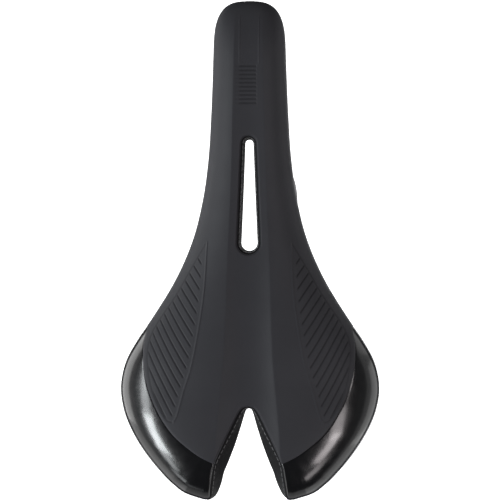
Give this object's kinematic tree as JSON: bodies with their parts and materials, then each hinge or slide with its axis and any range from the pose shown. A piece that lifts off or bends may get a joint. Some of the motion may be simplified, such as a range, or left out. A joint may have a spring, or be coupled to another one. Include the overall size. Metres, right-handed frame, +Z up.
{
  "type": "bicycle saddle",
  "caption": "Narrow-nosed racing bicycle saddle with a pressure-relief slot, a split tail, sewn matte and gloss covers, and round clamp rails.",
  "frame": {"origin": "midway between the two rail axes, at the middle of their straight clamped stretch", "axes": "+X to the rider's right, +Y towards the nose, +Z up"},
  "size_m": [0.1432, 0.275, 0.0552],
  "materials": {
    "matte_cover": "matte microfibre with a fine grain",
    "gloss_cover": "patent gloss",
    "lining_fabric": "matte woven",
    "thread": "twisted thread",
    "foam": "closed foam skin",
    "insert_gel": "soft satin",
    "shell_plastic": "fine moulded texture",
    "socket_plastic": "glass-filled moulding",
    "screw_steel": "zinc plated",
    "rail_metal": "satin, fine drawn lines"
  },
  "bodies": {
    "root": {"cover_center_panel": "matte_cover", "cover_wing_left": "gloss_cover", "cover_wing_right": "gloss_cover", "slot_lining": "lining_fabric", "notch_lining": "lining_fabric", "slot_seam_stitching": "thread", "notch_seam_stitching": "thread", "foam_padding": "foam", "sitbone_insert_left": "insert_gel", "sitbone_insert_right": "insert_gel", "base_shell": "shell_plastic", "nose_cap": "shell_plastic", "nose_rail_socket": "socket_plastic", "nose_rail_clamp": "socket_plastic", "nose_clamp_screws": "screw_steel", "rear_rail_socket_left": "socket_plastic", "rear_rail_socket_right": "socket_plastic", "rear_socket_screws": "screw_steel", "rail_left": "rail_metal", "rail_right": "rail_metal"}
  },
  "joints": []
}
